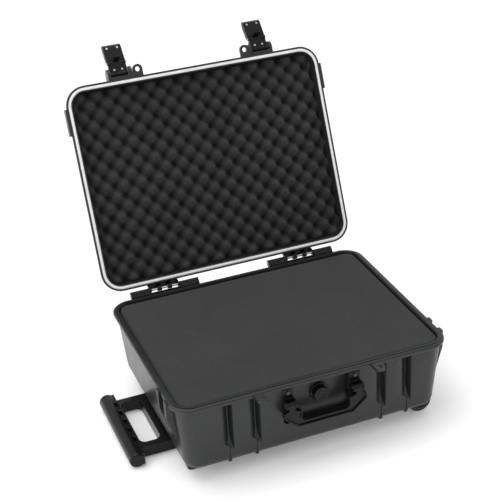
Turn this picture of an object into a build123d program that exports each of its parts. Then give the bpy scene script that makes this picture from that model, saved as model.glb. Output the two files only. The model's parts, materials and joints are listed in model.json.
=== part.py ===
from build123d import *
import math
import os

# Hard equipment case on a low trolley unit: a moulded base and lid with foam, two double latches,
# a carrying handle, a pressure valve, a sliding pull handle and two wheels.
# Millimetres.  X runs along the case (+X is the wheel end), -Y is the front, +Z is up.
# The origin is on the floor, under the middle of the base.

# ---- driving dimensions --------------------------------------------------------------------
RIM_LENGTH = 600.0          # outline of the rims, where base and lid meet
RIM_WIDTH = 460.0
RIM_RADIUS = 45.0
RIM_HEIGHT = 11.0
PARTING_Z = 188.0           # height of the plane where the lid closes on the base
BODY_Z = 30.0               # underside of the base shell, above the floor
FRONT_WALL_Y = -221.0       # outer face of the front wall
LID_HEIGHT = 56.0
WALL = 4.0
LID_OPEN_DEG = 113.0        # how far the lid stands open at rest
HINGE_Y = RIM_WIDTH / 2 + 12.3
HINGE_Z = PARTING_Z + 1.8
HINGE_X = 165.0             # the two hinges stand at plus and minus this
LATCH_X = 167.0             # and so do the two latches
FIT = 0.05                  # radial clearance of a turning pin
GAP = 0.3                   # clearance between parts that only pass each other

HINGE_LINE = Axis((0, HINGE_Y, HINGE_Z), (1, 0, 0))

os.makedirs("parts", exist_ok=True)


def save(name, shape):
    """Label a finished piece and write its file."""
    shape.label = name
    export_step(shape, f"parts/{name}.step")


def opened(shape):
    """Swing a piece of the lid, modelled closed, to the open rest position."""
    return shape.rotate(HINGE_LINE, -LID_OPEN_DEG)


def outline(z, length, width, radius, shift=0):
    """A rounded rectangle, level with the floor, at height z."""
    with BuildSketch(Plane.XY.offset(z)) as face:
        with Locations((shift, 0)):
            RectangleRounded(length, width, radius)
    return face.sketch


def side_name(x):
    return "left" if x < 0 else "right"


def end_name(y):
    return "front" if y < 0 else "rear"


# ---- base shell ----------------------------------------------------------------------------
GROOVE_WIDTH = 38.0
GROOVE_SPACING = 58.0       # between the two grooves under one latch
GROOVE_TOP_Z = PARTING_Z - 15
GROOVE_DEPTH = 15.0
GROOVE_DEEPEST = 8.0        # the left flank falls gently, to this far right of the groove's middle
GROOVE_FLOOR_Z = 100.0
GROOVE_TIP_Z = 64.0
GROOVE_X = [side * LATCH_X + step * GROOVE_SPACING / 2 for side in (-1, 1) for step in (-1, 1)]
RIB_SHIFT = 7.0             # of the thin rib under a groove, from the groove's middle
RECESS_HALF = 74.0          # recess behind the carrying handle
RECESS_Y = FRONT_WALL_Y + 14
RECESS_LOW_Z = 88.0
HANDLE_X = 9.0              # the carrying handle and the valve stand a little right of the middle
VALVE_X = HANDLE_X
VALVE_Z = 139.0
VALVE_STEM_R = 9.0
LUG_X = 127.0               # padlock eyes, beside the latches
LUG_Y = -245.0
LUG_Z = PARTING_Z - 9.8     # underside of the base's eyes
LUG_HOLE_R = 5.5
LUG_THICKNESS = 6.5
WHEEL_X = 252.0
WHEEL_Y = 177.0
WHEEL_R = 26.0
WELL_HALF = 16.8            # half width of a wheel well
WELL_TOP_Z = 56.3
WELL_START_X = 223.0
RIB_Y = (-133.0, -178.0)    # pairs of upright ribs on both end walls
HINGE_SEAT_Y = 224.0        # the hinge bars are screwed against this plane
BAR_LENGTH = 160.0
BAR_SCREW_Z = 158.0
BAR_SCREWS = [(side * HINGE_X + dx, BAR_SCREW_Z) for side in (-1, 1) for dx in (-66, -22, 22, 66)]
SCREW_R = 2.0
BRACKET_X = (HANDLE_X - 73.0, HANDLE_X + 73.0)
BRACKET_Z = 150.0
BRACKET_SCREW_Z = 165.0
FOOT_X = -242.0
FOOT_Y = 155.0
PAD_HEIGHT = 5.0
TRAY_SCREWS = [(x, y) for x in (-230, -75, 75, 214) for y in (-106, 106)]
END_SHIFT = -2.5            # the end wall over the wheels slopes more than the other one

with BuildPart() as groove_cutter:
    with BuildSketch(Plane.YZ) as groove_side:
        with BuildLine():
            top_out = (FRONT_WALL_Y - 12, GROOVE_TOP_Z)
            top_in = (FRONT_WALL_Y + GROOVE_DEPTH, GROOVE_TOP_Z)
            low_in = (FRONT_WALL_Y + GROOVE_DEPTH, GROOVE_FLOOR_Z)
            tip = (FRONT_WALL_Y, GROOVE_TIP_Z)
            Line(top_out, top_in)
            Line(top_in, low_in)
            TangentArc(low_in, tip, tangent=(0, -1))
            Line(tip, (FRONT_WALL_Y - 12, GROOVE_TIP_Z - 14))
            Line((FRONT_WALL_Y - 12, GROOVE_TIP_Z - 14), top_out)
        make_face()
    extrude(amount=GROOVE_WIDTH / 2, both=True)
    with BuildSketch(Plane.XY.offset(GROOVE_TIP_Z - 20)):
        with BuildLine():
            floor_y = FRONT_WALL_Y + GROOVE_DEPTH
            left = (-GROOVE_WIDTH / 2, FRONT_WALL_Y - 2)
            flank = (GROOVE_WIDTH / 2 - 5, FRONT_WALL_Y + 3.5)
            right = (GROOVE_WIDTH / 2, FRONT_WALL_Y - 2)
            TangentArc(left, (GROOVE_DEEPEST, floor_y), tangent=(1, 0.12))
            Line((GROOVE_DEEPEST, floor_y), (GROOVE_DEEPEST + 2, floor_y))
            Line((GROOVE_DEEPEST + 2, floor_y), flank)
            TangentArc(flank, right, tangent=(4, -11.5))
            Polyline(right, (GROOVE_WIDTH / 2, FRONT_WALL_Y - 12), (-GROOVE_WIDTH / 2, FRONT_WALL_Y - 12), left)
        make_face()
    extrude(amount=150, mode=Mode.INTERSECT)
    # the lower end is cut slanting, down to a tip at the right
    with BuildSketch(Plane.XZ.offset(-FRONT_WALL_Y - 30)) as groove_front:
        with BuildLine():
            Polyline((-20, GROOVE_TOP_Z), (20, GROOVE_TOP_Z), (20, GROOVE_TIP_Z + 5), (13, GROOVE_TIP_Z),
                     (-4, GROOVE_TIP_Z + 16), (-20, GROOVE_TIP_Z + 52), close=True)
        make_face()
        fillet(groove_front.vertices().group_by(Axis.Z)[:-1], 4)
    extrude(amount=60, mode=Mode.INTERSECT)

with BuildPart() as base_rim:
    with BuildSketch(Plane.XY.offset(PARTING_Z - RIM_HEIGHT)):
        RectangleRounded(RIM_LENGTH, RIM_WIDTH, RIM_RADIUS)
    extrude(amount=RIM_HEIGHT - 1.2)
    fillet(base_rim.faces().sort_by(Axis.Z)[0].edges(), 3.6)
    fillet(base_rim.faces().sort_by(Axis.Z)[-1].edges(), 3.6)

with BuildPart() as cavity:
    loft([outline(BODY_Z + WALL, 543, 430, 27, END_SHIFT), outline(PARTING_Z + 1, 574, 434, 33)])
    fillet(cavity.faces().sort_by(Axis.Z)[0].edges(), 15)

with BuildPart() as body_outer:
    loft([outline(BODY_Z, 551, 438, 32, END_SHIFT), outline(PARTING_Z - RIM_HEIGHT, 584, 446, 38)])
    fillet(body_outer.faces().sort_by(Axis.Z)[0].edges(), 20)

# housings of the wheel wells inside the bottom corners
with BuildPart() as well_blocks:
    with BuildSketch(Plane.XY.offset(BODY_Z + WALL / 2)):
        with Locations([(WELL_START_X + 28, WHEEL_Y), (WELL_START_X + 28, -WHEEL_Y)]):
            Rectangle(64, 2 * WELL_HALF + 2 * WALL)
    extrude(amount=WELL_TOP_Z - BODY_Z + 2)
    add(body_outer.part, mode=Mode.INTERSECT)

# columns inside the front wall, round the grooves
with BuildPart() as groove_columns:
    with BuildSketch(Plane.XY.offset(BODY_Z + WALL / 2)):
        with Locations([(x, FRONT_WALL_Y + 12) for x in GROOVE_X]):
            Rectangle(GROOVE_WIDTH + 2 * WALL, 18)
    extrude(amount=GROOVE_TOP_Z - BODY_Z)
    add(body_outer.part, mode=Mode.INTERSECT)

with BuildPart() as base_shell:
    add(body_outer.part)
    add(base_rim.part)
    with BuildSketch(Plane.XY.offset(PARTING_Z - 1.3)):
        RectangleRounded(RIM_LENGTH - 16, RIM_WIDTH - 16, RIM_RADIUS - 8)
        RectangleRounded(RIM_LENGTH - 22, RIM_WIDTH - 22, RIM_RADIUS - 11, mode=Mode.SUBTRACT)
    extrude(amount=1.3)
    add(cavity.part, mode=Mode.SUBTRACT)
    add(groove_columns.part)
    # block inside the front wall, round the handle recess
    with BuildSketch(Plane.XY.offset(RECESS_LOW_Z - 6)):
        with Locations((0, FRONT_WALL_Y + 11)):
            Rectangle(2 * RECESS_HALF + 2 * WALL, 15)
    extrude(amount=GROOVE_TOP_Z - RECESS_LOW_Z + 9)
    add(well_blocks.part)
    # legs at the pull handle's end
    with BuildSketch(Plane.XY.offset(PAD_HEIGHT)):
        with Locations((FOOT_X, FOOT_Y), (FOOT_X, -FOOT_Y)):
            RectangleRounded(46, 30, 8)
    extrude(amount=BODY_Z + 3 - PAD_HEIGHT)
    with Locations([(x, 0, 0) for x in GROOVE_X]):
        add(groove_cutter.part, mode=Mode.SUBTRACT)
    with BuildSketch(Plane.XZ.offset(-RECESS_Y)) as recess_face:
        with Locations((0, (RECESS_LOW_Z + GROOVE_TOP_Z) / 2)):
            RectangleRounded(2 * RECESS_HALF, GROOVE_TOP_Z - RECESS_LOW_Z, 9)
    extrude(amount=30, mode=Mode.SUBTRACT)
    with BuildSketch(Plane.XZ.offset(-RECESS_Y)) as valve_hole:
        with Locations((VALVE_X, VALVE_Z)):
            Circle(VALVE_STEM_R)
    extrude(amount=-12, mode=Mode.SUBTRACT)
    for y in (WHEEL_Y, -WHEEL_Y):
        with BuildSketch(Plane.XY.offset(BODY_Z - 5)):
            with Locations((WELL_START_X + 50, y)):
                Rectangle(100, 2 * WELL_HALF)
        extrude(amount=WELL_TOP_Z - BODY_Z + 5, mode=Mode.SUBTRACT)
    # padlock eyes
    for side in (-1, 1):
        with BuildSketch(Plane.XY.offset(LUG_Z)):
            with Locations((side * LUG_X, LUG_Y)):
                Circle(11)
            with Locations((side * LUG_X, (LUG_Y - 225) / 2)):
                Rectangle(22, -225 - LUG_Y)
            with Locations((side * LUG_X, LUG_Y)):
                Circle(LUG_HOLE_R, mode=Mode.SUBTRACT)
        extrude(amount=LUG_THICKNESS)
    # thin ribs with small feet under the grooves
    with BuildSketch(Plane.XY.offset(BODY_Z + 8)):
        with Locations([(x + RIB_SHIFT, FRONT_WALL_Y + 9.8) for x in GROOVE_X]):
            Rectangle(2.4, 20)
    extrude(amount=GROOVE_TIP_Z - BODY_Z - 4)
    with BuildSketch(Plane.XY.offset(BODY_Z + 2)):
        with Locations([(x + RIB_SHIFT, FRONT_WALL_Y + 15) for x in GROOVE_X]):
            RectangleRounded(8, 20, 3)
    extrude(amount=8)
    # flat seats for the hinges on the back wall
    with BuildSketch(Plane.XZ.offset(-HINGE_SEAT_Y)):
        with Locations([(side * HINGE_X, 162.5) for side in (-1, 1)]):
            Rectangle(BAR_LENGTH, 29)
    extrude(amount=6)
    with BuildSketch(Plane.XZ.offset(-HINGE_SEAT_Y)):
        with Locations(BAR_SCREWS):
            Circle(SCREW_R)
    extrude(amount=5, mode=Mode.SUBTRACT)
    # seats and screw holes of the carrying handle's brackets
    for x, depth in zip(BRACKET_X, (16, 8)):
        with BuildSketch(Plane.XZ.offset(-FRONT_WALL_Y - 1.4)) as bracket_seat:
            with Locations((x, BRACKET_Z)):
                Rectangle(24, 46)
        extrude(amount=-depth)
        extrude(bracket_seat.sketch, amount=6, mode=Mode.SUBTRACT)
        with BuildSketch(Plane.XZ.offset(-FRONT_WALL_Y - 1.4)):
            with Locations((x, BRACKET_SCREW_Z)):
                Circle(SCREW_R)
        extrude(amount=-9, mode=Mode.SUBTRACT)
    # screw holes of the trolley tray in the floor
    with BuildSketch(Plane.XY.offset(BODY_Z - 1)):
        with Locations(TRAY_SCREWS):
            Circle(SCREW_R)
    extrude(amount=4.5, mode=Mode.SUBTRACT)
    # upright rib pairs on the end walls
    for side in (-1, 1):
        with BuildSketch(Plane.XZ) as rib_side:
            with BuildLine():
                Polyline((side * 287, PARTING_Z - 1.2), (side * 304, PARTING_Z - 1.2), (side * 304, 148),
                         (side * 289, 96), (side * 284, 96), close=True)
            make_face()
        for y in RIB_Y:
            extrude(rib_side.sketch.moved(Location((0, y, 0))), amount=7, both=True)

save("base_shell", base_shell.part)

# ---- foam in the base ----------------------------------------------------------------------
FOAM_TOP_Z = 185.0
FOAM_LOW_Z = 61.0
FOAM_LIP_Z = 177.5          # above the columns the block reaches the front wall
FOAM_LENGTH = 567.0

with BuildPart() as foam_pad:
    with BuildSketch(Plane.XY.offset(BODY_Z + WALL + 2)):
        RectangleRounded(516, 392, 20)
        with Locations((WELL_START_X + 40, WHEEL_Y), (WELL_START_X + 40, -WHEEL_Y)):
            Rectangle(100, 52, mode=Mode.SUBTRACT)
    extrude(amount=FOAM_LOW_Z - BODY_Z - WALL - 2.5)
save("foam_pad", foam_pad.part)

with BuildPart() as pluck_foam:
    with BuildSketch(Plane.XY.offset(FOAM_LOW_Z)):
        with Locations((0, 2)):
            RectangleRounded(FOAM_LENGTH - 27, 423, 24)
    extrude(amount=FOAM_TOP_Z - FOAM_LOW_Z)
    with BuildSketch(Plane.XY.offset(FOAM_LIP_Z)):
        with Locations((0, 0.4)):
            RectangleRounded(FOAM_LENGTH, 430, 31)
    extrude(amount=FOAM_TOP_Z - FOAM_LIP_Z)
    with BuildSketch(Plane.XY.offset(FOAM_LOW_Z)):
        with Locations([(x, FRONT_WALL_Y + 12) for x in GROOVE_X]):
            Rectangle(GROOVE_WIDTH + 2 * WALL + 2, 20)
        with Locations((0, FRONT_WALL_Y + 12)):
            Rectangle(2 * RECESS_HALF + 2 * WALL + 2, 17)
        with Locations((VALVE_X, FRONT_WALL_Y + 18)):
            Rectangle(34, 34)
    extrude(amount=FOAM_LIP_Z - FOAM_LOW_Z, mode=Mode.SUBTRACT)
save("pluck_foam", pluck_foam.part)

# ---- lid -----------------------------------------------------------------------------------
LID_Z = PARTING_Z + GAP
LID_TOP_Z = LID_Z + LID_HEIGHT
SEAL_WIDTH = 8.0
SEAL_DEPTH = 5.0
SEAL_INSET = 3.5
PIVOT_Y = -242.0            # the latches turn on pins between the lid's cheeks
PIVOT_Z = PARTING_Z + 16
PIVOT_R = 2.5
CHEEK_R = 13.0
CHEEK_THICKNESS = 6.5
CHEEK_INNER = 21.5          # from a latch's middle to the inner face of a cheek
SHELF_Y = -236.2
LEAF_HALF = 35.0
LEAF_Z = 213.0

with BuildPart() as lid_rim:
    with BuildSketch(Plane.XY.offset(LID_Z)):
        RectangleRounded(RIM_LENGTH, RIM_WIDTH, RIM_RADIUS)
    extrude(amount=RIM_HEIGHT)
    fillet(lid_rim.faces().sort_by(Axis.Z)[0].edges(), 2)
    fillet(lid_rim.faces().sort_by(Axis.Z)[-1].edges(), 3.6)

with BuildPart() as lid_cavity:
    loft([outline(LID_Z - 1, 574, 434, 33), outline(LID_TOP_Z - WALL, 556, 418, 30)])
    fillet(lid_cavity.faces().sort_by(Axis.Z)[-1].edges(), 10)

with BuildPart() as lid_shell:
    loft([outline(LID_Z + RIM_HEIGHT - 0.5, 584, 446, 38), outline(LID_TOP_Z, 566, 428, 34)])
    fillet(lid_shell.faces().sort_by(Axis.Z)[-1].edges(), 12)
    add(lid_rim.part)
    # raised stiffening panels on the top
    with BuildSketch(Plane.XY.offset(LID_TOP_Z - 1)):
        with Locations((0, -120), (0, 0), (0, 120)):
            RectangleRounded(430, 64, 16)
    extrude(amount=4, taper=20)
    add(lid_cavity.part, mode=Mode.SUBTRACT)
    for side in (-1, 1):
        # cheeks that hold a latch
        for inward in (-1, 1):
            middle = side * LATCH_X + inward * (CHEEK_INNER + CHEEK_THICKNESS / 2)
            with BuildSketch(Plane.YZ.offset(middle)):
                with Locations((PIVOT_Y, PIVOT_Z)):
                    Circle(CHEEK_R)
                with Locations(((PIVOT_Y - 219) / 2, PIVOT_Z)):
                    Rectangle(-219 - PIVOT_Y, 2 * CHEEK_R)
                with Locations((PIVOT_Y, PIVOT_Z)):
                    Circle(PIVOT_R, mode=Mode.SUBTRACT)
            extrude(amount=CHEEK_THICKNESS / 2, both=True)
        # shelf between the cheeks, behind the latch
        with BuildSketch(Plane.XY.offset(LID_Z)):
            with Locations((side * LATCH_X, (SHELF_Y - 226) / 2)):
                Rectangle(2 * CHEEK_INNER + 2, -226 - SHELF_Y)
        extrude(amount=RIM_HEIGHT)
        # padlock eye
        with BuildSketch(Plane.XY.offset(LID_Z)):
            with Locations((side * LUG_X, LUG_Y)):
                Circle(11)
            with Locations((side * LUG_X, (LUG_Y - 225) / 2)):
                Rectangle(22, -225 - LUG_Y)
            with Locations((side * LUG_X, LUG_Y)):
                Circle(LUG_HOLE_R, mode=Mode.SUBTRACT)
        extrude(amount=LUG_THICKNESS)
        # boss on the end wall, over the base's rib pair
        with BuildSketch(Plane.XZ.offset(-sum(RIB_Y) / 2)):
            with BuildLine():
                Polyline((side * 288, LID_Z), (side * 304, LID_Z), (side * 304, LID_Z + 18),
                         (side * 284, LID_Z + 46), (side * 281, LID_Z + 46), close=True)
            make_face()
        extrude(amount=(RIB_Y[0] - RIB_Y[1]) / 2 + 7, both=True)
        # seat of the hinge leaf
        with BuildSketch(Plane.XZ.offset(-HINGE_SEAT_Y)):
            with Locations((side * HINGE_X, LEAF_Z)):
                Rectangle(2 * LEAF_HALF, 27)
        extrude(amount=9)
        with BuildSketch(Plane.XZ.offset(-HINGE_SEAT_Y)):
            with Locations([(side * HINGE_X + dx, LEAF_Z + 5) for dx in (-22, 22)]):
                Circle(SCREW_R)
        extrude(amount=5, mode=Mode.SUBTRACT)
    # groove of the seal
    with BuildSketch(Plane.XY.offset(LID_Z)):
        RectangleRounded(RIM_LENGTH - 2 * SEAL_INSET, RIM_WIDTH - 2 * SEAL_INSET, RIM_RADIUS - SEAL_INSET)
        inner = SEAL_INSET + SEAL_WIDTH
        RectangleRounded(RIM_LENGTH - 2 * inner, RIM_WIDTH - 2 * inner, RIM_RADIUS - inner,
                         mode=Mode.SUBTRACT)
    extrude(amount=SEAL_DEPTH, mode=Mode.SUBTRACT)
save("lid_shell", opened(lid_shell.part))

with BuildPart() as lid_seal:
    with BuildSketch(Plane.XY.offset(LID_Z + 0.05)):
        RectangleRounded(RIM_LENGTH - 2 * SEAL_INSET, RIM_WIDTH - 2 * SEAL_INSET, RIM_RADIUS - SEAL_INSET)
        inner = SEAL_INSET + SEAL_WIDTH
        RectangleRounded(RIM_LENGTH - 2 * inner, RIM_WIDTH - 2 * inner, RIM_RADIUS - inner,
                         mode=Mode.SUBTRACT)
    extrude(amount=SEAL_DEPTH - 0.05)
save("lid_seal", opened(lid_seal.part))

with BuildPart() as lid_foam:
    with BuildSketch(Plane.XY.offset(LID_Z + 6)):
        RectangleRounded(568, 428, 31)
    with BuildSketch(Plane.XY.offset(LID_TOP_Z - WALL - 1)):
        RectangleRounded(536, 396, 20)
    loft()
save("lid_foam", opened(lid_foam.part))

# ---- hinges --------------------------------------------------------------------------------
KNUCKLE_R = 5.5
PIN_R = 2.5
LUG_WIDTH = BAR_LENGTH / 2 - LEAF_HALF - GAP
SLOT_WIDTH = 14.0
SLOT_SPACING = 24.0
HEAD_R = 4.0
HEAD_HEIGHT = 2.4

for side in (-1, 1):
    middle = side * HINGE_X
    with BuildPart() as hinge_bar:
        with BuildSketch(Plane.YZ.offset(middle)):
            with BuildLine():
                Polyline((HINGE_SEAT_Y, 149), (HINGE_SEAT_Y, 176.5), (230.4, 176.5), (230.4, 187), (236, 187),
                         (236, 172), (229, 168), (229, 149), close=True)
            make_face()
        extrude(amount=BAR_LENGTH / 2, both=True)
        for inward in (-1, 1):
            lug_middle = middle + inward * (LEAF_HALF + GAP + LUG_WIDTH / 2)
            with BuildSketch(Plane.YZ.offset(lug_middle)):
                with Locations((HINGE_Y, HINGE_Z)):
                    Circle(KNUCKLE_R)
                with BuildLine():
                    Polyline((231, 176.6), (231, 187), (HINGE_Y - 4, HINGE_Z + 3.8),
                             (HINGE_Y + 5, HINGE_Z - 2.4), (236, 174), close=True)
                make_face()
                with Locations((HINGE_Y, HINGE_Z)):
                    Circle(PIN_R, mode=Mode.SUBTRACT)
            extrude(amount=LUG_WIDTH / 2, both=True)
        with BuildSketch(Plane.XZ.offset(-HINGE_SEAT_Y)):
            with Locations([(middle + dx, BAR_SCREW_Z) for dx in (-66, -22, 22, 66)]):
                Circle(SCREW_R)
        extrude(amount=-8, mode=Mode.SUBTRACT)
    save(f"hinge_bar_{side_name(side)}", hinge_bar.part)

    with BuildPart() as hinge_leaf:
        with BuildSketch(Plane.YZ.offset(middle)):
            with Locations((HINGE_Y, HINGE_Z)):
                Circle(KNUCKLE_R)
            with BuildLine():
                Polyline((HINGE_SEAT_Y, 199.8), (HINGE_SEAT_Y, 226), (228, 226), (228, 211), (231, 207), (244, 201),
                         (HINGE_Y + KNUCKLE_R, HINGE_Z), (HINGE_Y - KNUCKLE_R, HINGE_Z), (231, 199.8),
                         close=True)
            make_face()
            with Locations((HINGE_Y, HINGE_Z)):
                Circle(PIN_R + FIT, mode=Mode.SUBTRACT)
        extrude(amount=LEAF_HALF, both=True)
        with BuildSketch(Plane.XZ.offset(-232)):
            with Locations([(middle + step * SLOT_SPACING, 189) for step in (-1, 0, 1)]):
                Rectangle(SLOT_WIDTH, 18)
        extrude(amount=-20, mode=Mode.SUBTRACT)
        with BuildSketch(Plane.XZ.offset(-HINGE_SEAT_Y)):
            with Locations([(middle + dx, LEAF_Z + 5) for dx in (-22, 22)]):
                Circle(SCREW_R)
        extrude(amount=-8, mode=Mode.SUBTRACT)
    save(f"hinge_leaf_{side_name(side)}", opened(hinge_leaf.part))

    with BuildPart() as hinge_pin:
        with BuildSketch(Plane.YZ.offset(middle)):
            with Locations((HINGE_Y, HINGE_Z)):
                Circle(PIN_R)
        extrude(amount=LEAF_HALF + GAP + LUG_WIDTH, both=True)
    save(f"hinge_pin_{side_name(side)}", hinge_pin.part)


with BuildPart() as bar_screw:
    with BuildSketch(Plane.XZ.offset(-229)):
        Circle(HEAD_R)
    extrude(amount=-HEAD_HEIGHT)
    fillet(bar_screw.faces().sort_by(Axis.Y)[-1].edges(), 1)
    with BuildSketch(Plane.XZ.offset(-229)):
        Circle(SCREW_R)
    extrude(amount=9.5)
with BuildPart() as hinge_screws:
    with Locations([(x, 0, z) for x, z in BAR_SCREWS]):
        add(bar_screw.part)
save("hinge_screws", hinge_screws.part)

with BuildPart() as leaf_screw:
    with BuildSketch(Plane.XZ.offset(-228)):
        Circle(HEAD_R)
    extrude(amount=-HEAD_HEIGHT)
    fillet(leaf_screw.faces().sort_by(Axis.Y)[-1].edges(), 1)
    with BuildSketch(Plane.XZ.offset(-228)):
        Circle(SCREW_R)
    extrude(amount=8.5)
with BuildPart() as leaf_screws:
    with Locations([(side * HINGE_X + dx, 0, LEAF_Z + 5) for side in (-1, 1) for dx in (-22, 22)]):
        add(leaf_screw.part)
save("leaf_screws", opened(leaf_screws.part))

# ---- latches -------------------------------------------------------------------------------
# At rest the open latches lean back: the link stands LINK_TILT degrees above the plane of the
# lid's rim, and the lever LEVER_TILT degrees, both pointing away from the lid.
LINK_TILT = 12.0
LEVER_TILT = 24.0
LINK_LENGTH = 26.0
LINK_HALF = 20.0
LEVER_LENGTH = 47.0
LEVER_HALF = 21.2
JOINT_R = 4.5
JOINT_PIN_R = 2.2
HOOK_REACH = 21.6
TONGUE_HALF = 13.0          # the link's middle knuckle, between the lever's two


def along(tilt):
    """Direction of a link or lever, with the lid closed."""
    return Vector(0, -math.cos(math.radians(tilt)), math.sin(math.radians(tilt)))


def inner_face(start, tilt, height):
    """Plane of the face that looks at the case when the latch is closed, height above start."""
    inward = Vector(0, -math.sin(math.radians(tilt)), -math.cos(math.radians(tilt)))
    return Plane(origin=start + inward * height, x_dir=along(tilt), z_dir=inward)


for side in (-1, 1):
    name = side_name(side)
    pivot = Vector(side * LATCH_X, PIVOT_Y, PIVOT_Z)
    joint = pivot + along(LINK_TILT) * LINK_LENGTH
    link_plane = Plane(origin=pivot, x_dir=along(LINK_TILT), z_dir=(1, 0, 0))
    lever_plane = Plane(origin=joint, x_dir=along(LEVER_TILT), z_dir=(1, 0, 0))
    link_face = inner_face(pivot, LINK_TILT, 4)
    lever_face = inner_face(joint, LEVER_TILT, 2)

    with BuildPart() as latch_link:
        with BuildSketch(link_plane):
            Circle(5.5)
            with Locations((7.5, 0)):
                Rectangle(23, 8)
            with Locations((16, -1)):
                Rectangle(9, 10)
            Circle(PIVOT_R + FIT, mode=Mode.SUBTRACT)
        extrude(amount=LINK_HALF, both=True)
        with BuildSketch(link_plane):
            with Locations((LINK_LENGTH, 0)):
                Circle(JOINT_R)
            with Locations((LINK_LENGTH - 4, 0)):
                Rectangle(8, 2 * JOINT_R - 1)
            with Locations((LINK_LENGTH, 0)):
                Circle(JOINT_PIN_R, mode=Mode.SUBTRACT)
        extrude(amount=TONGUE_HALF, both=True)
        with BuildSketch(link_face):
            with Locations((9, 9), (9, -9)):
                Circle(SCREW_R - 0.5)
        extrude(amount=-3, mode=Mode.SUBTRACT)
    save(f"latch_link_{name}", opened(latch_link.part))

    with BuildPart() as latch_lever:
        with BuildSketch(lever_plane):
            Circle(JOINT_R)
            with Locations((6, -4)):
                Rectangle(6, 8)
            Circle(JOINT_PIN_R + FIT, mode=Mode.SUBTRACT)
        extrude(amount=LEVER_HALF, both=True)
        with BuildSketch(lever_plane):
            Circle(JOINT_R + GAP + 0.2)
        extrude(amount=TONGUE_HALF + GAP, both=True, mode=Mode.SUBTRACT)
        with BuildSketch(lever_plane):
            with BuildLine():
                Polyline((JOINT_R + 1, -7), (JOINT_R + 1, 2), (LEVER_LENGTH - 6, 2), (LEVER_LENGTH, -3),
                         (LEVER_LENGTH - 1, -6), (LEVER_LENGTH - 8, -10), (JOINT_R + 6, -10), close=True)
            make_face()
        extrude(amount=LEVER_HALF, both=True)
        # hook that reaches under the base's rim
        with BuildSketch(lever_plane):
            with BuildLine():
                Polyline((6, 1), (13, 1), (9, 8), (5.4, HOOK_REACH), (2.4, HOOK_REACH), (2.6, 9), (5.6, 5),
                         close=True)
            make_face()
        extrude(amount=7, both=True)
        with BuildSketch(lever_face):
            with Locations((LEVER_LENGTH - 11, 12), (LEVER_LENGTH - 11, -12)):
                Circle(SCREW_R - 0.5)
        extrude(amount=-3, mode=Mode.SUBTRACT)
    save(f"latch_lever_{name}", opened(latch_lever.part))

    with BuildPart() as pivot_pin:
        with BuildSketch(link_plane):
            Circle(PIVOT_R)
        extrude(amount=CHEEK_INNER + CHEEK_THICKNESS, both=True)
    save(f"latch_pivot_pin_{name}", opened(pivot_pin.part))

    with BuildPart() as joint_pin:
        with BuildSketch(lever_plane):
            Circle(JOINT_PIN_R)
        extrude(amount=LEVER_HALF, both=True)
    save(f"latch_joint_pin_{name}", opened(joint_pin.part))

    for part_name, face, distance, across in (
            ("link_screws", link_face, 9, 9), ("lever_screws", lever_face, LEVER_LENGTH - 11, 12)):
        with BuildPart() as small_screws:
            with BuildSketch(face):
                with Locations((distance, across), (distance, -across)):
                    Circle(SCREW_R - 0.5)
            extrude(amount=-2.9)
            with BuildSketch(face):
                with Locations((distance, across), (distance, -across)):
                    Circle(2.4)
            extrude(amount=0.9)
        save(f"{part_name}_{name}", opened(small_screws.part))

# ---- carrying handle -----------------------------------------------------------------------
HANDLE_Y = -238.0           # its pins
HANDLE_Z = 144.0
HANDLE_HALF = 90.0
HANDLE_OPENING = 52.0
HANDLE_DROP = 52.0
HANDLE_THICKNESS = 14.0
ARM_INNER = 66.4
ARM_OUTER = 79.6
RIB_WIDTH = 2.6             # raised edge all round the handle's faces
POCKET_DEPTH = 3.5
EAR = 5.0
HANDLE_PIN_R = 3.0

with BuildPart() as carry_handle:
    with BuildSketch(Plane.XZ.offset(-HANDLE_Y)) as handle_face:
        with BuildLine():
            right = [(0, -HANDLE_DROP), (60, -HANDLE_DROP), (HANDLE_HALF, -27), (HANDLE_HALF, -15),
                     (ARM_OUTER, -10), (ARM_OUTER, 0), (ARM_INNER, 0), (ARM_INNER, -12),
                     (HANDLE_OPENING, -16), (HANDLE_OPENING, -34), (46, -39.5), (0, -39.5)]
            left = [(-x, z) for x, z in reversed(right[1:-1])]
            Polyline([(HANDLE_X + x, HANDLE_Z + z) for x, z in right + left], close=True)
        make_face()
    extrude(amount=HANDLE_THICKNESS / 2, both=True)
    # pockets in both faces, inside a raised edge
    for face_side in (-1, 1):
        with BuildSketch(Plane.XZ.offset(-HANDLE_Y + face_side * HANDLE_THICKNESS / 2)):
            offset(handle_face.sketch.moved(Location((0, face_side * -HANDLE_THICKNESS / 2, 0))), -RIB_WIDTH)
            with Locations((HANDLE_X, HANDLE_Z)):
                Rectangle(2 * HANDLE_HALF, 24, mode=Mode.SUBTRACT)
        extrude(amount=-face_side * POCKET_DEPTH, mode=Mode.SUBTRACT)
    # barrels round the pins
    for x in BRACKET_X:
        with BuildSketch(Plane.YZ.offset(x)):
            with Locations((HANDLE_Y, HANDLE_Z)):
                Circle(HANDLE_THICKNESS / 2)
        extrude(amount=(ARM_OUTER - ARM_INNER) / 2, both=True)
    with BuildSketch(Plane.YZ.offset(HANDLE_X)):
        with Locations((HANDLE_Y, HANDLE_Z)):
            Circle(HANDLE_PIN_R + FIT)
    extrude(amount=HANDLE_HALF, both=True, mode=Mode.SUBTRACT)
save("carry_handle", carry_handle.part)

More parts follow.
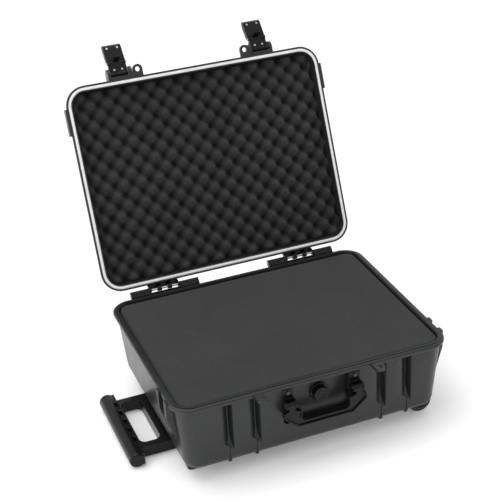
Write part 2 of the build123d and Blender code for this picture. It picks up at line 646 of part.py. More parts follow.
for name, x in zip(("left", "right"), BRACKET_X):
    with BuildPart() as bracket:
        with BuildSketch(Plane.XZ.offset(-FRONT_WALL_Y - 1.4)):
            with Locations((x, BRACKET_Z)):
                RectangleRounded(24, 46, 2)
        extrude(amount=4.4)
        with BuildSketch(Plane.YZ.offset(x)):
            with Locations((HANDLE_Y, HANDLE_Z)):
                Circle(8)
            with Locations(((HANDLE_Y + FRONT_WALL_Y - 2) / 2, HANDLE_Z)):
                Rectangle(FRONT_WALL_Y - 2 - HANDLE_Y, 16)
            with Locations((HANDLE_Y, HANDLE_Z)):
                Circle(HANDLE_PIN_R, mode=Mode.SUBTRACT)
        extrude(amount=12, both=True)
        with BuildSketch(Plane.YZ.offset(x)):
            with Locations((HANDLE_Y - 5.8, HANDLE_Z)):
                Rectangle(34, 40)
        extrude(amount=12 - EAR, both=True, mode=Mode.SUBTRACT)
        with BuildSketch(Plane.XZ.offset(-FRONT_WALL_Y - 1.4)):
            with Locations((x, BRACKET_SCREW_Z)):
                Circle(SCREW_R)
        extrude(amount=6, mode=Mode.SUBTRACT)
    save(f"handle_bracket_{name}", bracket.part)

    with BuildPart() as handle_pin:
        with BuildSketch(Plane.YZ.offset(x)):
            with Locations((HANDLE_Y, HANDLE_Z)):
                Circle(HANDLE_PIN_R)
        extrude(amount=12, both=True)
    save(f"handle_pin_{name}", handle_pin.part)

with BuildPart() as bracket_screws:
    with BuildSketch(Plane.XZ.offset(-FRONT_WALL_Y + 3)):
        with Locations([(x, BRACKET_SCREW_Z) for x in BRACKET_X]):
            Circle(SCREW_R)
    extrude(amount=-10)
    with BuildSketch(Plane.XZ.offset(-FRONT_WALL_Y + 3)):
        with Locations([(x, BRACKET_SCREW_Z) for x in BRACKET_X]):
            Circle(HEAD_R)
    extrude(amount=HEAD_HEIGHT)
save("bracket_screws", bracket_screws.part)

# ---- pressure valve ------------------------------------------------------------------------
FLANGE_R = 20.0
KNOB_R = 15.5
KNOB_HEIGHT = 12.2
RING_R = 9.5
SPINDLE_R = 5.0

with BuildPart() as valve_body:
    with BuildSketch(Plane.XZ.offset(-RECESS_Y)):
        with Locations((VALVE_X, VALVE_Z)):
            Circle(FLANGE_R)
    extrude(amount=4)
    fillet(valve_body.faces().sort_by(Axis.Y)[0].edges(), 1.2)
    with BuildSketch(Plane.XZ.offset(-RECESS_Y)):
        with Locations((VALVE_X, VALVE_Z)):
            Circle(VALVE_STEM_R)
    extrude(amount=-13)
    with BuildSketch(Plane.XZ.offset(-RECESS_Y + 4)):
        with Locations((VALVE_X, VALVE_Z)):
            Circle(SPINDLE_R + FIT)
    extrude(amount=-11, mode=Mode.SUBTRACT)
save("valve_body", valve_body.part)

with BuildPart() as valve_knob:
    with BuildSketch(Plane.XZ.offset(-RECESS_Y + 4 + GAP)):
        with Locations((VALVE_X, VALVE_Z)):
            Circle(KNOB_R)
            with PolarLocations(KNOB_R + 0.6, 20):
                Circle(1.4, mode=Mode.SUBTRACT)
    extrude(amount=KNOB_HEIGHT)
    with BuildSketch(Plane.XZ.offset(-RECESS_Y + 4 + GAP + KNOB_HEIGHT)):
        with Locations((VALVE_X, VALVE_Z)):
            Circle(RING_R)
            Circle(RING_R - 1.6, mode=Mode.SUBTRACT)
            Circle(3)
    extrude(amount=-1, mode=Mode.SUBTRACT)
    with BuildSketch(Plane.XZ.offset(-RECESS_Y + 5)):
        with Locations((VALVE_X, VALVE_Z)):
            Circle(SPINDLE_R)
    extrude(amount=-10)
save("valve_knob", valve_knob.part)

with BuildPart() as valve_nut:
    with BuildSketch(Plane.XZ.offset(-RECESS_Y - 4.6)):
        with Locations((VALVE_X, VALVE_Z)):
            RegularPolygon(14, 6)
            Circle(VALVE_STEM_R, mode=Mode.SUBTRACT)
    extrude(amount=-6)
save("valve_nut", valve_nut.part)

# ---- trolley unit --------------------------------------------------------------------------
TRAY_START_X = -262.0
TRAY_END_X = 236.0
SLIDE_HALF = 92.5
SLIDE_LOW_Z = 4.0
SLIDE_TOP_Z = 29.0
RAIL_WIDTH = 26.0
RAIL_TOP_Z = 18.0
RAIL_END_X = 170.0
GRIP_X = -354.0
GRIP_Z = 17.6
GRIP_R = 16.5
GRIP_HALF = 118.0

with BuildPart() as trolley_tray:
    with BuildSketch():
        with Locations(((TRAY_START_X + TRAY_END_X) / 2, 0)):
            Rectangle(TRAY_END_X - TRAY_START_X, 200)
    extrude(amount=BODY_Z)
    with BuildSketch(Plane.XY.offset(BODY_Z - 5)):
        with Locations(((TRAY_START_X + TRAY_END_X) / 2, 0)):
            Rectangle(TRAY_END_X - TRAY_START_X, 224)
    extrude(amount=5)
    with BuildSketch(Plane.XY.offset(SLIDE_LOW_Z - 0.8)):
        with Locations(((TRAY_START_X + TRAY_END_X) / 2 - 4, 0)):
            Rectangle(TRAY_END_X - TRAY_START_X, 2 * SLIDE_HALF + 1.4)
    extrude(amount=BODY_Z, mode=Mode.SUBTRACT)
    with BuildSketch(Plane.XY.offset(BODY_Z - 5)):
        with Locations(TRAY_SCREWS):
            Circle(SCREW_R)
    extrude(amount=6, mode=Mode.SUBTRACT)
save("trolley_tray", trolley_tray.part)

with BuildPart() as pull_slide:
    with BuildSketch(Plane.XY.offset(SLIDE_LOW_Z)):
        with Locations(((GRIP_X + GRIP_R - 266) / 2, 0)):
            Rectangle(-266 - GRIP_X - GRIP_R, 2 * SLIDE_HALF)
        with Locations((-312, 0)):
            RectangleRounded(44, 152, 14, mode=Mode.SUBTRACT)
    extrude(amount=SLIDE_TOP_Z - SLIDE_LOW_Z)
    with BuildSketch(Plane.XY.offset(SLIDE_LOW_Z)):
        with Locations([((RAIL_END_X - 266) / 2, side * (SLIDE_HALF - RAIL_WIDTH / 2)) for side in (-1, 1)]):
            Rectangle(RAIL_END_X + 266, RAIL_WIDTH)
        with Locations((RAIL_END_X - 12, 0)):
            Rectangle(24, 2 * SLIDE_HALF)
    extrude(amount=RAIL_TOP_Z - SLIDE_LOW_Z)
save("pull_slide", pull_slide.part)

with BuildPart() as pull_grip:
    with BuildSketch(Plane.XZ):
        with Locations((GRIP_X, GRIP_Z)):
            Circle(GRIP_R)
        with Locations((GRIP_X + GRIP_R / 2, GRIP_Z)):
            Rectangle(GRIP_R, 26)
    extrude(amount=GRIP_HALF, both=True)
    fillet(pull_grip.faces().sort_by(Axis.Y)[0].edges(), 5)
    fillet(pull_grip.faces().sort_by(Axis.Y)[-1].edges(), 5)
    with BuildSketch(Plane.XY.offset(GRIP_Z + 7)):
        with Locations([(GRIP_X + GRIP_R - 5, step * 34) for step in range(-2, 3)]):
            Rectangle(8, 28)
    extrude(amount=20, mode=Mode.SUBTRACT)
save("pull_grip", pull_grip.part)

with BuildPart() as tray_screws:
    with BuildSketch(Plane.XY.offset(BODY_Z - 5)):
        with Locations(TRAY_SCREWS):
            Circle(SCREW_R)
    extrude(amount=8)
    with BuildSketch(Plane.XY.offset(BODY_Z - 5 - HEAD_HEIGHT)):
        with Locations(TRAY_SCREWS):
            Circle(HEAD_R)
    extrude(amount=HEAD_HEIGHT)
save("tray_screws", tray_screws.part)

# ---- wheels --------------------------------------------------------------------------------
AXLE_R = 4.0
HUB_R = 17.0
WHEEL_HALF = 11.0

for end in (-1, 1):
    y = end * WHEEL_Y
    name = end_name(end)
    with BuildPart() as wheel_housing:
        with BuildSketch(Plane.XZ.offset(-y)):
            with Locations((248.2, 43)):
                Rectangle(49, 26)
            with Locations((WHEEL_X, WHEEL_R)):
                Circle(13)
        extrude(amount=WELL_HALF - 0.2, both=True)
        with BuildSketch(Plane.XZ.offset(-y)):
            with Locations((WHEEL_X + 8, 20)):
                Rectangle(76, 66)
        extrude(amount=WELL_HALF - 4, both=True, mode=Mode.SUBTRACT)
        with BuildSketch(Plane.XZ.offset(-y)):
            with Locations((WHEEL_X, WHEEL_R)):
                Circle(AXLE_R)
        extrude(amount=WELL_HALF, both=True, mode=Mode.SUBTRACT)
    save(f"wheel_housing_{name}", wheel_housing.part)

    with BuildPart() as wheel_axle:
        with BuildSketch(Plane.XZ.offset(-y)):
            with Locations((WHEEL_X, WHEEL_R)):
                Circle(AXLE_R)
        extrude(amount=WELL_HALF - 0.2, both=True)
    save(f"wheel_axle_{name}", wheel_axle.part)

    with BuildPart() as wheel_hub:
        with BuildSketch(Plane.XZ.offset(-y)):
            with Locations((WHEEL_X, WHEEL_R)):
                Circle(HUB_R)
                Circle(AXLE_R + FIT, mode=Mode.SUBTRACT)
        extrude(amount=WHEEL_HALF, both=True)
        for face_side in (-1, 1):
            with BuildSketch(Plane.XZ.offset(-y + face_side * WHEEL_HALF)):
                with Locations((WHEEL_X, WHEEL_R)):
                    Circle(HUB_R - 3)
                    Circle(AXLE_R + 4, mode=Mode.SUBTRACT)
            extrude(amount=-face_side * 4, mode=Mode.SUBTRACT)
    save(f"wheel_hub_{name}", wheel_hub.part)

    with BuildPart() as wheel_tyre:
        with BuildSketch(Plane.XZ.offset(-y)):
            with Locations((WHEEL_X, WHEEL_R)):
                Circle(WHEEL_R)
                Circle(HUB_R, mode=Mode.SUBTRACT)
        extrude(amount=WHEEL_HALF, both=True)
        fillet(wheel_tyre.edges().filter_by(GeomType.CIRCLE).group_by(SortBy.RADIUS)[-1], 3)
    save(f"wheel_tyre_{name}", wheel_tyre.part)

with BuildPart() as foot_pads:
    with BuildSketch():
        with Locations((FOOT_X, FOOT_Y), (FOOT_X, -FOOT_Y)):
            RectangleRounded(44, 28, 7)
    extrude(amount=PAD_HEIGHT)
save("foot_pads", foot_pads.part)
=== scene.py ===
import json
import math

import bmesh
import bpy
from mathutils import Matrix, Vector, noise


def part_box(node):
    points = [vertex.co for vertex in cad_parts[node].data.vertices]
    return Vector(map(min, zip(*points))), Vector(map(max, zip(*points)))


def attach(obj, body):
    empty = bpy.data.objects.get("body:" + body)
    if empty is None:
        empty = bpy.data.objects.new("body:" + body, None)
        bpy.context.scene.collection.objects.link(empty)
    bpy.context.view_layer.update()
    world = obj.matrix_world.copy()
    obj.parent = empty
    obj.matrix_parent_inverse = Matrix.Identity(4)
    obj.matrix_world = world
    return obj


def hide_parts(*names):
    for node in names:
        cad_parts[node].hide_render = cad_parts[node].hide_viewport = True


# A hard equipment case, standing open: moulded shells, foam, latches, handles and wheels.
# Metres.  +X runs to the wheel end, -Y to the front, +Z up.

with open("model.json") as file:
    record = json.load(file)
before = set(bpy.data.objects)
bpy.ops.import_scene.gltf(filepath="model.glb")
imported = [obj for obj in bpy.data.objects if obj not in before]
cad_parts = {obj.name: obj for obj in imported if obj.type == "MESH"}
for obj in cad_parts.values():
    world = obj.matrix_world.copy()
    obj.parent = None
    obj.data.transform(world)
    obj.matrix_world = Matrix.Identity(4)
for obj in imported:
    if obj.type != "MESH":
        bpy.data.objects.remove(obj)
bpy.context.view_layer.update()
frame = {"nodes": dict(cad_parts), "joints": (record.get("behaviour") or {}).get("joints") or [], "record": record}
scene = bpy.context.scene
scene.view_settings.view_transform = "Standard"
MM = 0.001

# ---- the lid's own frame -------------------------------------------------------------------
# Pieces of the lid are built with the lid closed, then swung open about its hinge, as the frame
# has it.
hinge = next(joint for joint in frame["joints"] if joint["name"] == "lid_hinge")
HINGE = Vector(hinge["pos_m"])
OPEN = math.radians(-hinge["range_deg"][1])
SWING = Matrix.Translation(HINGE) @ Matrix.Rotation(OPEN, 4, "X") @ Matrix.Translation(-HINGE)
CLOSE = SWING.inverted()


def closed_box(node):
    """Lowest and highest corner of a lid node, measured with the lid closed."""
    points = [CLOSE @ vertex.co for vertex in frame["nodes"][node].data.vertices]
    low = Vector([min(point[axis] for point in points) for axis in range(3)])
    high = Vector([max(point[axis] for point in points) for axis in range(3)])
    return low, high


# ---- materials -----------------------------------------------------------------------------
def start_material(name, colour, roughness, **settings):
    """A Principled material, its shader and its texture coordinates.

    Each further setting is a shader input, with underscores for the spaces in its name.
    """
    material = bpy.data.materials.new(name)
    material.use_nodes = True
    shader = material.node_tree.nodes["Principled BSDF"]
    shader.inputs["Base Color"].default_value = (*colour, 1)
    shader.inputs["Roughness"].default_value = roughness
    for socket, value in settings.items():
        shader.inputs[socket.replace("_", " ")].default_value = value
    coordinates = material.node_tree.nodes.new("ShaderNodeTexCoord")
    return material, shader, coordinates.outputs["Object"]


def noise_texture(material, where, scale, detail=3.0, roughness=0.55):
    texture = material.node_tree.nodes.new("ShaderNodeTexNoise")
    texture.inputs["Scale"].default_value = scale
    texture.inputs["Detail"].default_value = detail
    texture.inputs["Roughness"].default_value = roughness
    material.node_tree.links.new(where, texture.inputs["Vector"])
    return texture.outputs["Fac"]


def cells_texture(material, where, scale):
    texture = material.node_tree.nodes.new("ShaderNodeTexVoronoi")
    texture.inputs["Scale"].default_value = scale
    material.node_tree.links.new(where, texture.inputs["Vector"])
    return texture.outputs["Distance"]


def ramp(material, value, low, high, first, last):
    """Maps a texture value from low..high onto the colours first..last."""
    mapping = material.node_tree.nodes.new("ShaderNodeValToRGB")
    mapping.color_ramp.elements[0].position = low
    mapping.color_ramp.elements[1].position = high
    mapping.color_ramp.elements[0].color = (*first, 1)
    mapping.color_ramp.elements[1].color = (*last, 1)
    material.node_tree.links.new(value, mapping.inputs["Fac"])
    return mapping.outputs["Color"]


def grey(level):
    return (level, level, level)


def multiplied(material, first, second):
    """The product of two colours."""
    mix = material.node_tree.nodes.new("ShaderNodeMix")
    mix.data_type = "RGBA"
    mix.blend_type = "MULTIPLY"
    mix.inputs["Factor"].default_value = 1
    material.node_tree.links.new(first, mix.inputs["A"])
    material.node_tree.links.new(second, mix.inputs["B"])
    return mix.outputs["Result"]


def shade_by_attribute(material, name):
    """Multiplies a material's textured colour by a value that each point of the mesh carries."""
    attribute = material.node_tree.nodes.new("ShaderNodeAttribute")
    attribute.attribute_name = name
    colour = material.node_tree.nodes["Principled BSDF"].inputs["Base Color"]
    shaded = multiplied(material, colour.links[0].from_socket, attribute.outputs["Fac"])
    material.node_tree.links.new(shaded, colour)


def bump(material, shader, heights):
    """Chains bumps at full strength: heights is a list of (value, distance in metres)."""
    previous = None
    for value, distance in heights:
        node = material.node_tree.nodes.new("ShaderNodeBump")
        node.inputs["Strength"].default_value = 1
        node.inputs["Distance"].default_value = distance
        material.node_tree.links.new(value, node.inputs["Height"])
        if previous:
            material.node_tree.links.new(previous, node.inputs["Normal"])
        previous = node.outputs["Normal"]
    material.node_tree.links.new(previous, shader.inputs["Normal"])


def scaled(colour, factor):
    return tuple(channel * factor for channel in colour)


def moulded_plastic(name, colour, roughness, grain, specular=0.5):
    """Injection-moulded plastic: fine spark-eroded grain, faint flow patches and rubbed gloss."""
    material, shader, where = start_material(name, colour, roughness, IOR=1.5,
                                             Specular_IOR_Level=specular)
    links = material.node_tree.links
    patches = noise_texture(material, where, scale=9, detail=4)
    links.new(ramp(material, patches, 0.3, 0.7, scaled(colour, 0.86), scaled(colour, 1.12)),
              shader.inputs["Base Color"])
    rubbed = noise_texture(material, where, scale=26, detail=6, roughness=0.65)
    links.new(ramp(material, rubbed, 0.3, 0.72, grey(roughness - 0.06), grey(roughness + 0.07)),
              shader.inputs["Roughness"])
    sparks = noise_texture(material, where, scale=1100, detail=2)
    sink_marks = noise_texture(material, where, scale=14, detail=3)
    bump(material, shader, [(sparks, grain), (sink_marks, 0.9 * MM)])
    return material


def foam_material(name, colour, pore_scale):
    """Open-cell foam: pores, a fibrous dullness and slightly uneven dye."""
    material, shader, where = start_material(name, colour, 0.95, Specular_IOR_Level=0.12,
                                             Sheen_Weight=0.12, Sheen_Roughness=0.6)
    pores = cells_texture(material, where, pore_scale)
    clouds = noise_texture(material, where, scale=6, detail=5, roughness=0.6)
    dye = ramp(material, clouds, 0.3, 0.7, scaled(colour, 0.85), scaled(colour, 1.15))
    pore_shadow = ramp(material, pores, 0.15, 0.6, grey(1.0), grey(0.55))
    material.node_tree.links.new(multiplied(material, dye, pore_shadow), shader.inputs["Base Color"])
    fibres = noise_texture(material, where, scale=300, detail=3)
    bump(material, shader, [(pores, 0.6 * MM), (fibres, 0.5 * MM)])
    return material


def metal(name, colour, roughness):
    """Turned or drawn metal with fine scratches."""
    material, shader, where = start_material(name, colour, roughness, Metallic=1.0)
    links = material.node_tree.links
    stretch = material.node_tree.nodes.new("ShaderNodeMapping")
    stretch.inputs["Scale"].default_value = (30, 900, 900)
    links.new(where, stretch.inputs["Vector"])
    scratches = noise_texture(material, stretch.outputs["Vector"], scale=1, detail=3)
    links.new(ramp(material, scratches, 0.3, 0.7, grey(roughness - 0.08), grey(roughness + 0.12)),
              shader.inputs["Roughness"])
    links.new(ramp(material, scratches, 0.3, 0.7, scaled(colour, 0.9), scaled(colour, 1.05)),
              shader.inputs["Base Color"])
    bump(material, shader, [(scratches, 0.04 * MM)])
    return material


def rubber(name, colour, roughness, coat=0.0):
    """Rubber with a little dust, and a glossy skin where coat is given."""
    material, shader, where = start_material(name, colour, roughness, Coat_Weight=coat,
                                             Coat_Roughness=0.12)
    links = material.node_tree.links
    dust = noise_texture(material, where, scale=60, detail=5, roughness=0.6)
    links.new(ramp(material, dust, 0.3, 0.75, scaled(colour, 0.9), scaled(colour, 1.08)),
              shader.inputs["Base Color"])
    links.new(ramp(material, dust, 0.3, 0.7, grey(roughness - 0.05), grey(roughness + 0.08)),
              shader.inputs["Roughness"])
    bump(material, shader, [(noise_texture(material, where, scale=500, detail=2), 0.08 * MM)])
    return material


PIT_SHADE = "pit_shade"     # painted shade: the egg-crate foam's colour is multiplied by this, darker towards the bottom of its pits
CASE = moulded_plastic("case_plastic", (0.015, 0.016, 0.016), roughness=0.33, grain=0.10 * MM,
                       specular=0.42)
BLACK = moulded_plastic("black_plastic", (0.006, 0.0065, 0.0065), roughness=0.24, grain=0.04 * MM,
                        specular=0.22)
BASE_FOAM = foam_material("base_foam", (0.030, 0.0315, 0.031), pore_scale=900)
LID_FOAM = foam_material("lid_foam", (0.044, 0.044, 0.042), pore_scale=800)
# painted shade in the egg-crate foam's pits, carried by each point of its mesh
shade_by_attribute(LID_FOAM, PIT_SHADE)
SEAL = rubber("seal_rubber", (0.80, 0.81, 0.82), 0.28, coat=0.6)
STEEL = metal("bright_steel", (0.5, 0.5, 0.49), 0.32)
DARK_STEEL = metal("blackened_steel", (0.09, 0.09, 0.09), 0.4)
TYRE = rubber("tyre_rubber", (0.022, 0.022, 0.022), 0.7)
PAD = rubber("pad_rubber", (0.03, 0.03, 0.03), 0.8)
SLOT_MATERIALS = {"case_plastic": CASE, "black_plastic": BLACK, "foam": BASE_FOAM, "seal": SEAL,
                  "steel": STEEL, "black_steel": DARK_STEEL, "tyre": TYRE, "pad_rubber": PAD}

slot_of = {part["node"]: part["material_slot"] for part in frame["record"]["subparts"]}
body_of = {node: body for body, nodes in frame["record"]["behaviour"]["bodies"].items()
           for node in nodes}
for node, piece in frame["nodes"].items():
    piece.data.materials.clear()
    piece.data.materials.append(SLOT_MATERIALS[slot_of[node]])


# ---- new pieces ----------------------------------------------------------------------------
WELD_DISTANCE = 0.02 * MM
FLAT_ANGLE = math.radians(0.5)      # faces this close to one plane are joined
EASED_ANGLE = math.radians(32)      # edges sharper than this are rounded over


def finish_piece(name, mesh, material, nodes, body):
    """Makes an object of a mesh that stands for some CAD nodes and rides on a body."""
    piece = bpy.data.objects.new(name, mesh)
    scene.collection.objects.link(piece)
    mesh.materials.clear()
    mesh.materials.append(material)
    for face in mesh.polygons:
        face.use_smooth = True
    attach(piece, body)
    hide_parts(*nodes)
    return piece


def eased(node, width, segments=3):
    """The node's own shape, with its moulded edges rounded over."""
    shape = bmesh.new()
    shape.from_mesh(frame["nodes"][node].data)
    bmesh.ops.remove_doubles(shape, verts=shape.verts, dist=WELD_DISTANCE)
    bmesh.ops.dissolve_limit(shape, angle_limit=FLAT_ANGLE, verts=shape.verts, edges=shape.edges)
    mesh = bpy.data.meshes.new(node + "_eased")
    shape.to_mesh(mesh)
    shape.free()
    normals = mesh.attributes.get("custom_normal")
    if normals:
        mesh.attributes.remove(normals)
    slot = slot_of[node]
    piece = finish_piece(node + "_eased", mesh, SLOT_MATERIALS[slot], [node], body_of[node])
    bevel = piece.modifiers.new("eased edges", "BEVEL")
    bevel.width = width
    bevel.segments = segments
    bevel.limit_method = "ANGLE"
    bevel.angle_limit = EASED_ANGLE
    bevel.harden_normals = True


def rounded_outline(length, width, radius, corner_steps):
    """Points of a rounded rectangle round the origin, anticlockwise."""
    points = []
    for quarter, (sx, sy) in enumerate(((1, 1), (-1, 1), (-1, -1), (1, -1))):
        for step in range(corner_steps + 1):
            turn = math.radians(90 * (quarter + step / corner_steps))
            points.append(((length / 2 - radius) * sx + radius * math.cos(turn),
                           (width / 2 - radius) * sy + radius * math.sin(turn)))
    return points


def soft_edge(distance, drop, reach):
    """How far a foam face falls away near its edge: the full drop at distance 0, none past reach."""
    return drop * max(0, 1 - distance / reach) ** 2


def slab(length, width, radius, step, top_height, bottom_height, transform):
    """A foam slab over a rounded rectangle with corners of that radius.

    Both faces are grids with that step, and each has a function for its height at x and y.
    """
    columns = round(length / step)
    rows = round(width / step)
    shape = bmesh.new()
    sheets = []
    for height in (top_height, bottom_height):
        grid = []
        for row in range(rows + 1):
            line = []
            for column in range(columns + 1):
                x = (column / columns - 0.5) * length
                y = (row / rows - 0.5) * width
                dx = abs(x) - (length / 2 - radius)
                dy = abs(y) - (width / 2 - radius)
                if dx > 0 and dy > 0:
                    reach = max(dx, dy) / max(math.hypot(dx, dy), 1e-9)
                    x = math.copysign(length / 2 - radius + dx * reach, x)
                    y = math.copysign(width / 2 - radius + dy * reach, y)
                line.append(shape.verts.new(transform @ Vector((x, y, height(x, y)))))
            grid.append(line)
        sheets.append(grid)
    for layer, grid in enumerate(sheets):
        for row in range(rows):
            for column in range(columns):
                corners = [grid[row][column], grid[row][column + 1],
                           grid[row + 1][column + 1], grid[row + 1][column]]
                shape.faces.new(corners if layer == 0 else corners[::-1])
    top, bottom = sheets
    rim = ([(0, column) for column in range(columns)]
           + [(row, columns) for row in range(rows)]
           + [(rows, column) for column in range(columns, 0, -1)]
           + [(row, 0) for row in range(rows, 0, -1)])
    for (row_a, col_a), (row_b, col_b) in zip(rim, rim[1:] + rim[:1]):
        shape.faces.new([bottom[row_a][col_a], bottom[row_b][col_b],
                         top[row_b][col_b], top[row_a][col_a]])
    bmesh.ops.recalc_face_normals(shape, faces=shape.faces)
    mesh = bpy.data.meshes.new("slab")
    shape.to_mesh(mesh)
    shape.free()
    return mesh


# ---- egg-crate foam in the lid -------------------------------------------------------------
CRATE_LOW, CRATE_HIGH = closed_box("lid_foam")
CRATE_LENGTH = CRATE_HIGH.x - CRATE_LOW.x
CRATE_WIDTH = CRATE_HIGH.y - CRATE_LOW.y
CRATE_CORNER = 30 * MM
CRATE_STEP = 3.5 * MM
CRATE_ACROSS = 41 * MM      # from peak to peak
CRATE_ALONG = 46 * MM
CRATE_DEPTH = 21 * MM
CRATE_INSET = 1 * MM        # of the peaks, behind the CAD foam's face
CRATE_BLUNTNESS = 0.85      # below 1 the pits are wider than the peaks
CRATE_WAVER = 1.6 * MM
PIT_DARKNESS = 0.9
PIT_FALL = 1.5              # above 1 the painted shade gathers at the bottom of the pits


def crate_wave(x, y):
    """Staggered waves: 0 at a peak and 1 at the bottom of a pit."""
    across = math.cos(2 * math.pi * x / CRATE_ACROSS)
    return 0.5 - 0.5 * across * math.cos(2 * math.pi * y / CRATE_ALONG)


def crate(x, y):
    """Height of the egg-crate face, with soft edges; the peaks point down, as the lid is closed."""
    waver = noise.noise(Vector((x * 14, y * 14, 3))) * CRATE_WAVER
    edge = min(CRATE_HIGH.x - abs(x), CRATE_WIDTH / 2 - abs(y))
    pit = CRATE_DEPTH * crate_wave(x, y) ** CRATE_BLUNTNESS
    return CRATE_LOW.z + pit + waver + CRATE_INSET + soft_edge(edge, 5 * MM, 7 * MM)


crate_mesh = slab(CRATE_LENGTH, CRATE_WIDTH, CRATE_CORNER, CRATE_STEP, crate,
                  lambda x, y: CRATE_HIGH.z, SWING)
crate_foam = finish_piece("egg_crate_foam", crate_mesh, LID_FOAM, ["lid_foam"], "lid")
# Painted shade: each point of the egg-crate foam gets a factor that darkens its colour with the depth of its pit.
shade = crate_mesh.attributes.new(PIT_SHADE, "FLOAT", "POINT")
for vertex in crate_mesh.vertices:
    depth = min(1, ((CLOSE @ vertex.co).z - CRATE_LOW.z) / CRATE_DEPTH)
    shade.data[vertex.index].value = 1 - PIT_DARKNESS * depth ** PIT_FALL

# ---- foam block and pad in the base --------------------------------------------------------
BLOCK_LOW, BLOCK_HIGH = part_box("pluck_foam")
BLOCK_CORNER = 31 * MM
BLOCK_STEP = 4 * MM
BLOCK_LIP = 7.4 * MM        # the edges are only this thick, over the columns and sloping walls
BLOCK_FOOT_HALF = 264 * MM  # inside this and the next two the block is as deep as the CAD's
BLOCK_FOOT_FRONT = -193 * MM
BLOCK_FOOT_BACK = 206 * MM
BLOCK_SAG = 0.6 * MM        # the top dips and rises by this
BLOCK_BACK_SHIFT = Matrix.Translation((0, (BLOCK_LOW.y + BLOCK_HIGH.y) / 2, 0))


def block_top(x, y):
    """A cut foam face: almost flat, with soft edges."""
    edge = min(BLOCK_HIGH.x - abs(x), BLOCK_HIGH.y - abs(y))
    ripple = noise.noise(Vector((x * 7, y * 7, 0))) * BLOCK_SAG
    return BLOCK_HIGH.z - BLOCK_SAG + ripple - soft_edge(edge, 3 * MM, 5 * MM)


def block_bottom(x, y):
    """The block stands on the pad, except for the lip round its edges."""
    inside = abs(x) < BLOCK_FOOT_HALF and BLOCK_FOOT_FRONT < y < BLOCK_FOOT_BACK
    return BLOCK_LOW.z if inside else BLOCK_HIGH.z - BLOCK_LIP


block_mesh = slab(BLOCK_HIGH.x - BLOCK_LOW.x, BLOCK_HIGH.y - BLOCK_LOW.y, BLOCK_CORNER, BLOCK_STEP,
                  block_top, block_bottom, BLOCK_BACK_SHIFT)
block = finish_piece("base_foam_block", block_mesh, BASE_FOAM, ["pluck_foam"], "base")

PAD_LOW, PAD_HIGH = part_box("foam_pad")
PAD_LENGTH = 430 * MM       # between the wheel housings
PAD_CORNER = 20 * MM
PAD_STEP = 12 * MM
pad_mesh = slab(PAD_LENGTH, PAD_HIGH.y - PAD_LOW.y, PAD_CORNER, PAD_STEP, lambda x, y: PAD_HIGH.z,
                lambda x, y: PAD_LOW.z, Matrix.Identity(4))
pad = finish_piece("bottom_foam_pad", pad_mesh, BASE_FOAM, ["foam_pad"], "base")

# ---- seal cord -----------------------------------------------------------------------------
SEAL_LOW, SEAL_HIGH = closed_box("lid_seal")
SEAL_WIDTH = 8 * MM
SEAL_CORNER = 41.5 * MM     # outer radius of its corners
SEAL_SLACK = 0.97           # the cord is a little narrower than its groove
SEAL_MIDDLE = 2.6 * MM      # above the seal's lowest point, with the lid closed
SEAL_HALF_HEIGHT = 2.4 * MM
SECTION_STEP_DEG = 20
CORNER_STEPS = 24


def seal_mesh():
    """A soft cord with an oval section, laid round the lid's rim."""
    section = [(math.cos(math.radians(angle)), math.sin(math.radians(angle)))
               for angle in range(0, 360, SECTION_STEP_DEG)]
    path = rounded_outline(SEAL_HIGH.x - SEAL_LOW.x - SEAL_WIDTH,
                           SEAL_HIGH.y - SEAL_LOW.y - SEAL_WIDTH,
                           SEAL_CORNER - SEAL_WIDTH / 2, CORNER_STEPS)
    shape = bmesh.new()
    rings = []
    middle_y = (SEAL_LOW.y + SEAL_HIGH.y) / 2
    for index, (x, y) in enumerate(path):
        ahead = path[(index + 1) % len(path)]
        behind = path[index - 1]
        along = Vector((ahead[0] - behind[0], ahead[1] - behind[1])).normalized()
        outward = Vector((along.y, -along.x))
        ring = []
        for across, up in section:
            spot = Vector((x, y + middle_y)) + outward * across * SEAL_WIDTH / 2 * SEAL_SLACK
            lift = SEAL_LOW.z + SEAL_MIDDLE - up * SEAL_HALF_HEIGHT
            ring.append(shape.verts.new(SWING @ Vector((spot.x, spot.y, lift))))
        rings.append(ring)
    for ring, following in zip(rings, rings[1:] + rings[:1]):
        for step in range(len(ring)):
            after = (step + 1) % len(ring)
            shape.faces.new([ring[step], ring[after], following[after], following[step]])
    bmesh.ops.recalc_face_normals(shape, faces=shape.faces)
    mesh = bpy.data.meshes.new("seal")
    shape.to_mesh(mesh)
    shape.free()
    return mesh


seal = finish_piece("seal_cord", seal_mesh(), SEAL, ["lid_seal"], "lid")

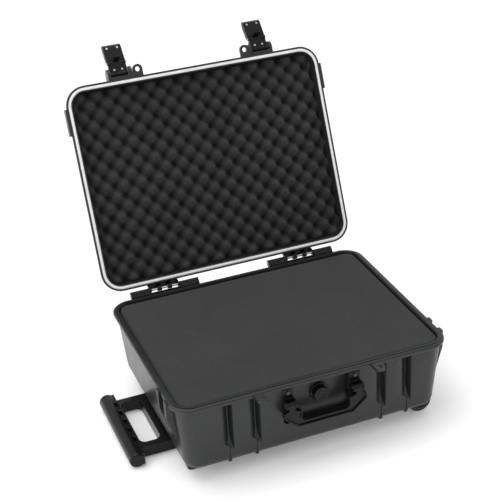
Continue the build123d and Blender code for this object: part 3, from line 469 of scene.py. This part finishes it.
# ---- moulded and metal pieces with rounded edges -------------------------------------------
eased("base_shell", 0.7 * MM, segments=2)
eased("lid_shell", 0.6 * MM, segments=2)
for side in ("left", "right"):
    eased(f"latch_lever_{side}", 0.8 * MM)
    eased(f"latch_link_{side}", 0.7 * MM)
    eased(f"hinge_bar_{side}", 0.6 * MM)
    eased(f"hinge_leaf_{side}", 0.6 * MM)
    eased(f"handle_bracket_{side}", 0.7 * MM)
for end in ("front", "rear"):
    eased(f"wheel_housing_{end}", 0.8 * MM)
    eased(f"wheel_hub_{end}", 0.6 * MM)
for node, width in (("carry_handle", 1.6), ("pull_slide", 1.2), ("pull_grip", 0.8),
                    ("trolley_tray", 0.8), ("valve_body", 0.5), ("valve_knob", 0.4),
                    ("foot_pads", 1.0)):
    eased(node, width * MM)

# ---- floor, light and camera ---------------------------------------------------------------
FLOOR_SIZE = 30
FLOOR_GREY = 0.92
FLOOR_GLOW = 0.16           # lightens the shadow round the case
WORLD_LIGHT = 0.80
AIM = (0, 0, 0.2)           # where both lamps point
CAMERA_LENS_MM = 90.6
CAMERA_SENSOR_MM = 36
CAMERA_PLACE = (-0.8234, -2.1282, 1.5903)
CAMERA_ANGLES_DEG = (61.704, 2.806, -21.609)

bpy.ops.mesh.primitive_plane_add(size=FLOOR_SIZE, location=(0, 0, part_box("foot_pads")[0].z))
floor = bpy.context.object
floor.name = "studio_floor"
floor_material, floor_shader, _ = start_material("pale_floor", grey(FLOOR_GREY), 0.6)
floor_shader.inputs["Emission Color"].default_value = (1, 1, 1, 1)
floor_shader.inputs["Emission Strength"].default_value = FLOOR_GLOW
floor.data.materials.append(floor_material)

world = bpy.data.worlds.new("studio")
world.use_nodes = True
background = world.node_tree.nodes["Background"]
background.inputs["Color"].default_value = (1, 1, 1, 1)
background.inputs["Strength"].default_value = WORLD_LIGHT
scene.world = world


def softbox(name, place, size, power):
    """A square lamp, with its side in metres and its power in watts."""
    light = bpy.data.lights.new(name, "AREA")
    light.shape = "SQUARE"
    light.size = size
    light.energy = power
    lamp = bpy.data.objects.new(name, light)
    lamp.location = place
    lamp.rotation_euler = (Vector(AIM) - Vector(place)).to_track_quat("-Z", "Y").to_euler()
    scene.collection.objects.link(lamp)


softbox("top_softbox", (-0.8, 0.6, 3.2), size=2.6, power=55)
softbox("left_softbox", (-3.0, -0.6, 1.6), size=1.8, power=22)

camera_data = bpy.data.cameras.new("camera")
camera_data.lens = CAMERA_LENS_MM
camera_data.sensor_width = CAMERA_SENSOR_MM
camera = bpy.data.objects.new("camera", camera_data)
camera.location = CAMERA_PLACE
camera.rotation_euler = [math.radians(angle) for angle in CAMERA_ANGLES_DEG]
scene.collection.objects.link(camera)
scene.camera = camera
